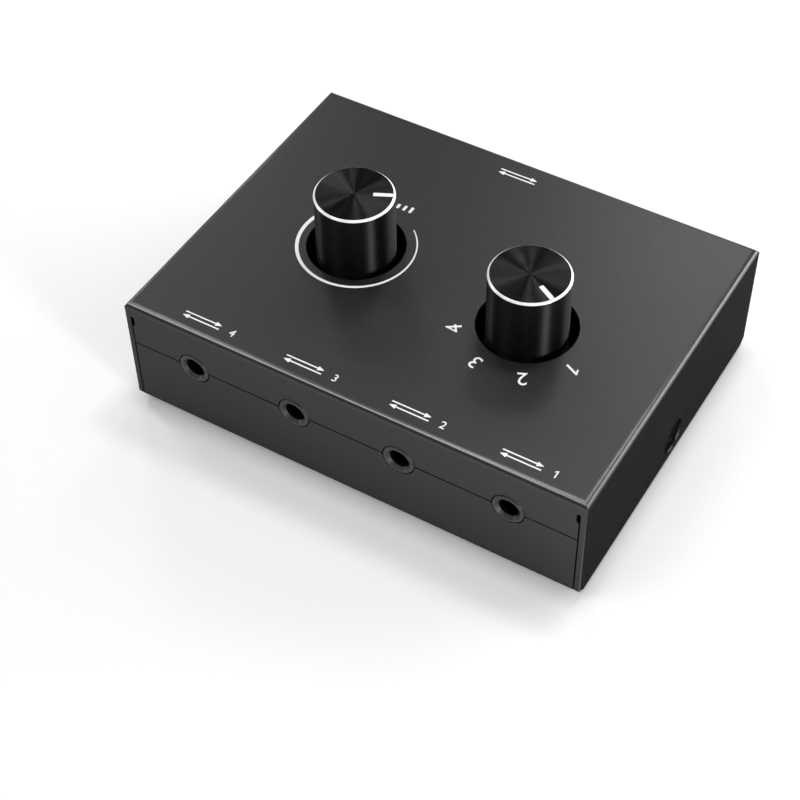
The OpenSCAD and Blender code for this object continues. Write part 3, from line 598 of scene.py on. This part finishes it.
screw = add_rod(
    "side_screw_pair", (screws_high.x - head_cone / 2, screw_y, screw_z), head_r, head_cone, "X")
shape(screw)
choose_faces(lambda middle, normal: normal.x < -SQUARE_ON)
bpy.ops.transform.resize(value=(1, cone_end, cone_end))
bpy.ops.mesh.inset(thickness=head_r - head_cone - shank_r)
bpy.ops.mesh.extrude_region_move(TRANSFORM_OT_translate={"value": (-shank_length, 0, 0)})
done()
for reach_y, reach_z in ((recess_reach, recess_width / 2), (recess_width / 2, recess_reach)):
    recess = add_box("recess", (screws_high.x - recess_depth, screw_y - reach_y, screw_z - reach_z),
                     (screws_high.x + sheet, screw_y + reach_y, screw_z + reach_z))
    shape(recess)
    choose_faces(lambda middle, normal: normal.x < -SQUARE_ON)
    bpy.ops.transform.resize(value=(1, recess_taper, recess_taper))
    done()
    cut(screw, recess)
soften(screw, head_edge)
modify(screw, "MIRROR")
black_steel_and_sink_shade = grained_finish(
    "black_steel_and_sink_shade", ("#232324", "#2f2f30"), (0.33, 0.42), 0.2 * MM, 0.006 * MM,
    metallic=1.0, edge_tint=0.25)
fit(screw, black_steel_and_sink_shade, "case", "black_screw", "side_screws")
# Painted shade: the cover's countersink faces take the screws' dark finish, so each sink reads as a dark
# ring round its head.
cover.data.materials.append(black_steel_and_sink_shade)
for face in cover.data.polygons:
    from_axis = math.hypot(face.center.y - screw_y, face.center.z - screw_z)
    if from_axis < sink_outer_r and abs(face.center.x) > wall_in_x and abs(face.normal.x) < SQUARE_ON:
        face.material_index = 1

# Printed marks
# White ink, silk-screened on the cover: numbers round the selector, a swelling arc and rising bars
# at the volume knob, and a double arrow above each socket, with a number at the four front ones.

film = 0.03 * MM
film_sink = 0.2 * film
ink = grained_finish(
    "white_ink", ("#ececec", "#f6f6f6"), (0.5, 0.62), 0.12 * MM, 0.004 * MM, specular=0.3)
print_low = cover_high.z - film_sink
print_high = print_low + film
boldness = 0.002
numeral_steps = 6
# The flag of a one: its reach and its foot above the middle, in shares of the height, and its slope
flag_reach = 0.3
flag_foot = 0.36
flag_slope = 0.7


def add_flag(height):
    """The slanting stroke at the top of a one, which the plain font leaves out."""
    reach = flag_reach * height
    flag = add_box("flag", (-reach, flag_foot * height, -film / 2), (0, height / 2, film / 2))
    shape(flag)
    choose_faces(lambda middle, normal: normal.x < -SQUARE_ON)
    bpy.ops.transform.translate(value=(0, -flag_slope * reach, 0))
    done()
    return flag


def add_numeral(text, height, x, y, turn):
    """A printed numeral of a given height, centred on a spot and turned about the vertical."""
    bpy.ops.object.text_add(location=(0, 0, 0))
    bpy.context.object.data.body = text
    bpy.context.object.data.extrude = film / 2
    bpy.context.object.data.offset = boldness
    bpy.context.object.data.resolution_u = numeral_steps
    pick(bpy.context.object)
    bpy.ops.object.convert(target="MESH")
    numeral = bpy.context.object
    spots = [v.co for v in numeral.data.vertices]
    low = [min(s[i] for s in spots) for i in (0, 1)]
    high = [max(s[i] for s in spots) for i in (0, 1)]
    size = height / (high[1] - low[1])
    shape(numeral)
    bpy.ops.mesh.select_all(action="SELECT")
    bpy.ops.transform.translate(value=(-(low[0] + high[0]) / 2, -(low[1] + high[1]) / 2, 0))
    bpy.ops.transform.resize(value=(size, size, 1), center_override=(0, 0, 0))
    bpy.ops.mesh.remove_doubles(threshold=NEAR)
    done()
    if text == "1":
        weld(numeral, add_flag(height))
    numeral.rotation_euler = (0, 0, turn)
    numeral.location = (x, y, (print_low + print_high) / 2)
    return settle("numeral")


def join_print(name, marks):
    """Makes one printed piece of several marks."""
    bpy.ops.object.select_all(action="DESELECT")
    for mark in marks:
        mark.select_set(True)
    bpy.context.view_layer.objects.active = marks[0]
    bpy.ops.object.join()
    marks[0].name = name
    marks[0].data.name = name
    fit(marks[0], ink, "case", "white_fill")


dial_r = 14 * MM
dial_height = 3.1 * MM
dial_count = 4
dial_first_degrees = 334
dial_step_degrees = 40
selector_axis = middle_of("selector_knob")
numerals = []
for i in range(dial_count):
    outward = math.radians(dial_first_degrees - i * dial_step_degrees)
    numerals.append(add_numeral(
        str(i + 1), dial_height, selector_axis.x + dial_r * math.cos(outward),
        selector_axis.y + dial_r * math.sin(outward), outward - math.pi / 2))
join_print("dial_numbers", numerals)

stroke = 0.3 * MM
arrow_length = 8.2 * MM
arrow_head = 1.3 * MM
arrow_flare = 3.6
arrow_tip = 0.1
arrow_lift = 0.5 * MM
label_y = -33.65 * MM
label_x = 0.4 * MM
label_height = 1.75 * MM
number_x = 7.3 * MM
far_label_x = -1.5 * MM
far_label_y = 32.55 * MM

neck_x = arrow_length / 2 - arrow_head
arrow = add_box("arrow_pattern", (-arrow_length / 2, arrow_lift - stroke / 2, print_low),
                (neck_x, arrow_lift + stroke / 2, print_high))
shape(arrow)
choose_faces(lambda middle, normal: normal.x > SQUARE_ON)
bpy.ops.mesh.extrude_region_move(TRANSFORM_OT_translate={"value": (0, 0, 0)})
bpy.ops.transform.resize(value=(1, arrow_flare, 1), center_override=(neck_x, arrow_lift, 0))
bpy.ops.mesh.extrude_region_move(TRANSFORM_OT_translate={"value": (arrow_head, 0, 0)})
bpy.ops.transform.resize(value=(1, arrow_tip, 1), center_override=(arrow_length / 2, arrow_lift, 0))
done()


def add_double_arrow(x, y):
    """Two arrows that point in and out, centred on a spot."""
    return [copy_to(arrow, "arrow", x, y, turn) for turn in (0, math.pi)]


for number, node in zip((4, 3, 2, 1), sockets):
    axis = middle_of(node)
    marks = add_double_arrow(axis.x + label_x, label_y)
    marks.append(add_numeral(str(number), label_height, axis.x + number_x, label_y, 0))
    join_print("socket_mark_%d" % number, marks)
join_print("common_mark", add_double_arrow(far_label_x, far_label_y))
bpy.data.objects.remove(arrow)

volume_axis = middle_of("volume_knob")
bars = []
bar_count = 7
bar_pitch = 1.45 * MM
bar_width = 0.62 * MM
bar_round = 0.1 * MM
bar_shortest = 0.5 * MM
bar_rise = 0.2 * MM
bars_out = 13.2 * MM
bar_foot_y = volume_axis.y + bars_out
for i in range(bar_count):
    bar_x = volume_axis.x + (i - (bar_count - 1) / 2) * bar_pitch
    bar_height = bar_shortest + i * bar_rise
    bar = add_box("bar", (bar_x - bar_width / 2, bar_foot_y, print_low),
                  (bar_x + bar_width / 2, bar_foot_y + bar_height, print_high))
    shape(bar)
    choose_edges(lambda a, b: abs(a.z - b.z) > film / 2)
    bpy.ops.mesh.bevel(offset=bar_round, segments=3, affect="EDGES")
    done()
    bars.append(bar)
join_print("volume_bars", bars)

arc_r = 12.2 * MM
arc_steps = 180
arc_slack = math.radians(0.5)
arc_gap = math.radians(40)
arc_span = math.tau - 2 * arc_gap
arc_thin = 0.26 * MM
arc_thick = 0.9 * MM


def past_gap(spot):
    """Angle from the thin end of the arc, clockwise round the volume knob."""
    outward = math.atan2(spot.y - volume_axis.y, spot.x - volume_axis.x)
    return (math.pi / 2 - arc_gap - outward) % math.tau


bpy.ops.mesh.primitive_circle_add(
    vertices=arc_steps, radius=arc_r, fill_type="NOTHING",
    location=(volume_axis.x, volume_axis.y, print_low))
arc = settle("arc")
shape(arc)
choose_edges(lambda a, b: max(past_gap(a), past_gap(b)) > arc_span + arc_slack)
bpy.ops.mesh.delete(type="EDGE")
choose_edges(lambda a, b: True)
bpy.ops.mesh.extrude_edges_move(TRANSFORM_OT_translate={"value": (0, 0, 0)})
cage = bmesh.from_edit_mesh(arc.data)
for vertex in cage.verts:
    if vertex.select:
        outward = (vertex.co - volume_axis).xy
        width = arc_thin + (arc_thick - arc_thin) * past_gap(vertex.co) / arc_span
        inner = outward * (1 - width / arc_r)
        vertex.co.xy = (volume_axis.x + inner.x, volume_axis.y + inner.y)
bmesh.update_edit_mesh(arc.data)
bpy.ops.mesh.select_all(action="SELECT")
bpy.ops.mesh.normals_make_consistent(inside=False)
done()
modify(arc, "SOLIDIFY", thickness=film, offset=1)
join_print("volume_arc", [arc])

# Knobs
# Shells turned from aluminium and anodised black, pressed on moulded cores. The top is faced on the
# lathe, and the chamfer is cut bright after anodising. A white bar is filled into a groove in the top.

knob_chamfer = 0.4 * MM
knob_foot = 0.3 * MM
knob_wall = 1.4 * MM
knob_top = 2 * MM
facing_margin = 0.2 * MM
pointer_length = 3.9 * MM
pointer_width = 1 * MM
pointer_depth = 0.3 * MM
pointer_end = 7.55 * MM
pointer_sink = 0.02 * MM
pointer_round = 0.04 * MM
turned_edge = 0.03 * MM
smooth_within = math.radians(30)
# A face of the chamfer looks up by more than this, and by less than SQUARE_ON
chamfer_up = 0.2
# Anisotropic Rotation counts in whole turns
quarter_turn = 0.25
patch_size = 1.5 * MM
knob_low, knob_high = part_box("volume_knob")
knob_r = (knob_high.x - knob_low.x) / 2
knob_height = knob_high.z - knob_low.z


def turned_finish(name, shades, roughness, groove, depth, anisotropy, metallic=1.0):
    """Anodised metal with lathe marks: the gloss runs across the marks, which follow the turning map."""
    finish = new_finish(name, metallic)
    nodes, links = finish.node_tree.nodes, finish.node_tree.links
    shader = nodes["Principled BSDF"]
    shader.inputs["Anisotropic"].default_value = anisotropy
    shader.inputs["Anisotropic Rotation"].default_value = quarter_turn
    tangent = nodes.new("ShaderNodeTangent")
    tangent.direction_type = "UV_MAP"
    tangent.uv_map = "turning"
    links.new(tangent.outputs["Tangent"], shader.inputs["Tangent"])
    patches = add_noise(finish, patch_size, patch_detail)
    colour_by(finish, patches, *shades)
    gloss_by(finish, patches, *roughness)
    along = nodes.new("ShaderNodeUVMap")
    along.uv_map = "turning"
    stretch = nodes.new("ShaderNodeMapping")
    stretch.inputs["Scale"].default_value = (2, 1 / groove, 1)
    marks = nodes.new("ShaderNodeTexNoise")
    marks.inputs["Scale"].default_value = 1
    links.new(along.outputs["UV"], stretch.inputs["Vector"])
    links.new(stretch.outputs["Vector"], marks.inputs["Vector"])
    relief_by(finish, marks.outputs["Fac"], depth)
    return finish


def lay_turning_map(piece):
    """Lays a UV map on a piece turned about Z: U runs round it, V follows the tool in metres."""
    turning = piece.data.uv_layers.new(name="turning")
    for face in piece.data.polygons:
        middle_turn = math.atan2(face.center.y, face.center.x)
        for loop in face.loop_indices:
            spot = piece.data.vertices[piece.data.loops[loop].vertex_index].co
            radius = spot.xy.length
            turn = math.atan2(spot.y, spot.x) if radius > NEAR else middle_turn
            turn = middle_turn + (turn - middle_turn + math.pi) % math.tau - math.pi
            turning.data[loop].uv = (turn / math.tau, radius - spot.z)


knob = add_rod(
    "knob_pattern", (0, 0, (knob_low.z + knob_high.z) / 2), knob_r, knob_height, "Z", large_sides)
shape(knob)
choose_faces(lambda middle, normal: normal.z < -SQUARE_ON)
bpy.ops.mesh.inset(thickness=knob_wall)
bpy.ops.mesh.extrude_region_move(TRANSFORM_OT_translate={"value": (0, 0, knob_height - knob_top)})
choose_edges(lambda a, b: min(a.z, b.z) > knob_high.z - NEAR)
bpy.ops.mesh.bevel(offset=knob_chamfer, segments=1, affect="EDGES")
choose_edges(lambda a, b: max(a.z, b.z) < knob_low.z + NEAR
             and min(a.xy.length, b.xy.length) > knob_r - NEAR)
bpy.ops.mesh.bevel(offset=knob_foot, segments=4, affect="EDGES")
choose_edges(lambda a, b: abs(a.z - b.z) < NEAR and min(a.z, b.z) > knob_high.z - knob_chamfer - NEAR
             and min(a.xy.length, b.xy.length) > knob_r - knob_chamfer - NEAR)
bpy.ops.mesh.bevel(offset=turned_edge, segments=2, affect="EDGES")
choose_faces(lambda middle, normal: middle.z > knob_high.z - NEAR)
bpy.ops.mesh.inset(thickness=facing_margin)
bpy.ops.mesh.poke()
done()
inlay_low = (pointer_end - pointer_length, -pointer_width / 2, knob_high.z - pointer_depth)
inlay_high = (pointer_end, pointer_width / 2, knob_high.z - pointer_sink)
cut(knob, add_box("groove", inlay_low, (inlay_high[0], inlay_high[1], knob_high.z + sheet)))
lay_turning_map(knob)
pick(knob)
bpy.ops.object.shade_smooth_by_angle(angle=smooth_within)
pointer = add_box("pointer_pattern", inlay_low, inlay_high)
soften(pointer, pointer_round)

anodised_side = turned_finish(
    "anodised_side", ("#252525", "#2a2a2a"), (0.46, 0.5), 0.08 * MM, 0.001 * MM, anisotropy=0.97)
spun_top = turned_finish(
    "spun_top", ("#272727", "#2d2d2d"), (0.33, 0.36), 0.12 * MM, 0.002 * MM, anisotropy=1.0)
cut_chamfer = turned_finish(
    "cut_chamfer", ("#f4f4f4", "#fafafa"), (0.3, 0.36), 0.06 * MM, 0.0005 * MM,
    anisotropy=0.3, metallic=0.3)
core_plastic = grained_finish("core_plastic", ("#1b1b1c", "#242425"), (0.45, 0.6), 0.2 * MM, 0.01 * MM)
dress(core_plastic, "volume_knob_core", "selector_knob_core")
pointer_fill = grained_finish(
    "pointer_fill", ("#ececec", "#f6f6f6"), (0.45, 0.6), 0.12 * MM, 0.004 * MM, specular=0.3)
for control, rest_angle in (("volume", 26), ("selector", 330)):
    axis = middle_of(control + "_knob")
    turn = math.radians(rest_angle)
    inlay = copy_to(pointer, control + "_pointer_bar", axis.x, axis.y, turn)
    fit(inlay, pointer_fill, control + "_control", "white_fill", control + "_pointer")
    shell = copy_to(knob, control + "_knob_shell", axis.x, axis.y, turn)
    fit(shell, anodised_side, control + "_control", "knob_anodised", control + "_knob")
    shell.data.materials.append(cut_chamfer)
    shell.data.materials.append(spun_top)
    for face in shell.data.polygons:
        if face.center.z > knob_high.z - knob_chamfer and chamfer_up < face.normal.z < SQUARE_ON:
            face.material_index = 1
        elif face.center.z > knob_high.z - pointer_depth / 2 and face.normal.z > SQUARE_ON:
            face.material_index = 2
bpy.data.objects.remove(knob)
bpy.data.objects.remove(pointer)

# Floor and light
# A plain pale floor of matt paper in an even room. Seven soft boxes hang in front, overhead, at the
# left and behind, and three low ones stand left, right and behind for the turned sides of the knobs.

floor_size = 8
floor_colour = 0.98
floor_roughness = 0.9
floor_specular = 0.1
room_light = 0.19
aim = Vector((0, 0, 0.02))

bpy.ops.mesh.primitive_plane_add(size=floor_size, location=(0, 0, 0))
floor = settle("floor")
floor_finish = bpy.data.materials.new("floor_paper")
floor_finish.use_nodes = True
paper = floor_finish.node_tree.nodes["Principled BSDF"]
paper.inputs["Base Color"].default_value = (floor_colour, floor_colour, floor_colour, 1)
paper.inputs["Roughness"].default_value = floor_roughness
paper.inputs["Specular IOR Level"].default_value = floor_specular
floor.data.materials.append(floor_finish)

world = bpy.data.worlds.new("pale_room")
bpy.context.scene.world = world
world.use_nodes = True
room = world.node_tree.nodes["Background"]
room.inputs["Color"].default_value = (1, 1, 1, 1)
room.inputs["Strength"].default_value = room_light


def add_soft_box(name, place, width, height, power):
    """A soft box that faces the object, with its width and height in metres and its power in watts."""
    bpy.ops.object.light_add(type="AREA", location=place)
    lamp = bpy.context.object
    lamp.name = name
    lamp.data.shape = "RECTANGLE"
    lamp.data.size = width
    lamp.data.size_y = height
    lamp.data.energy = power
    lamp.rotation_euler = (aim - Vector(place)).to_track_quat("-Z", "Y").to_euler()


add_soft_box("key_box", (-0.28, -0.37, 0.65), 0.3, 0.3, 0.88)
add_soft_box("front_box", (0.26, -0.42, 0.56), 0.3, 0.3, 0.31)
add_soft_box("overhead_box", (0.0, 0.0, 0.7), 0.1, 0.1, 0.88)
add_soft_box("high_rear_box", (0.064, 0.228, 0.658), 0.12, 0.12, 0.79)
add_soft_box("left_box", (-0.462, 0.122, 0.511), 0.12, 0.12, 0.61)
add_soft_box("rear_left_box", (-0.46, 0.45, 0.34), 0.12, 0.12, 0.5)
add_soft_box("rear_box", (-0.1, 0.54, 0.45), 0.15, 0.2, 0.42)
add_soft_box("left_strip", (-0.66, -0.24, 0.14), 0.08, 0.28, 0.79)
add_soft_box("right_strip", (0.65, -0.25, 0.14), 0.14, 0.28, 3.5)
add_soft_box("rear_strip", (0.43, 0.55, 0.14), 0.62, 0.28, 5.0)

# Camera
# A long lens, high in front and to the right, as the photograph was taken. Its place, turn and focal
# length come from fitting the corners of the case, the sockets and the knobs to the photograph.

camera_place = (0.12373, -0.21901, 0.27352)
camera_turn = [math.radians(degrees) for degrees in (41.689, 0.761, 30.732)]
focal_length = 81.11
sensor_width = 36

bpy.ops.object.camera_add(location=camera_place, rotation=camera_turn)
camera = bpy.context.object
camera.data.lens = focal_length
camera.data.sensor_width = sensor_width
bpy.context.scene.camera = camera
bpy.context.scene.view_settings.view_transform = "Standard"
